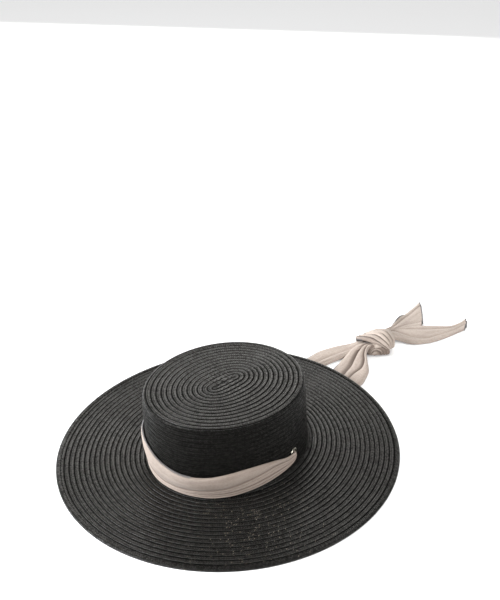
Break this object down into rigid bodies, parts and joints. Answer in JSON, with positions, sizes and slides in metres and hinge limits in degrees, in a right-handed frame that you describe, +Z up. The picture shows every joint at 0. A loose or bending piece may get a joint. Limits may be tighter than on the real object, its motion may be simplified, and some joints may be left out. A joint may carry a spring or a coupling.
{
  "type": "capeline hat",
  "caption": "Wide flat-brimmed hat of sewn straw braid with an oval flat-topped crown, side eyelets and a scarf knotted behind the brim.",
  "frame": {"origin": "centre of the head opening, on the surface that the hat lies on", "axes": "+Z up through the crown, -Y towards the front of the hat, +Y towards the knotted scarf, +X towards the wearer's left"},
  "size_m": [0.3932, 0.7001, 0.0983],
  "materials": {
    "straw_braid": "near-black sewn braid, faint sheen",
    "eyelet_metal": "pale champagne metal, polished",
    "scarf_cloth": "matte pinkish beige cloth with grey overlocked edges"
  },
  "bodies": {
    "root": {"crown": "straw_braid", "brim": "straw_braid", "eyelet_left": "eyelet_metal", "eyelet_right": "eyelet_metal", "scarf_band": "scarf_cloth", "scarf_strand_left": "scarf_cloth", "scarf_strand_right": "scarf_cloth", "scarf_knot": "scarf_cloth", "scarf_tail_upper": "scarf_cloth", "scarf_tail_lower": "scarf_cloth"}
  },
  "joints": []
}
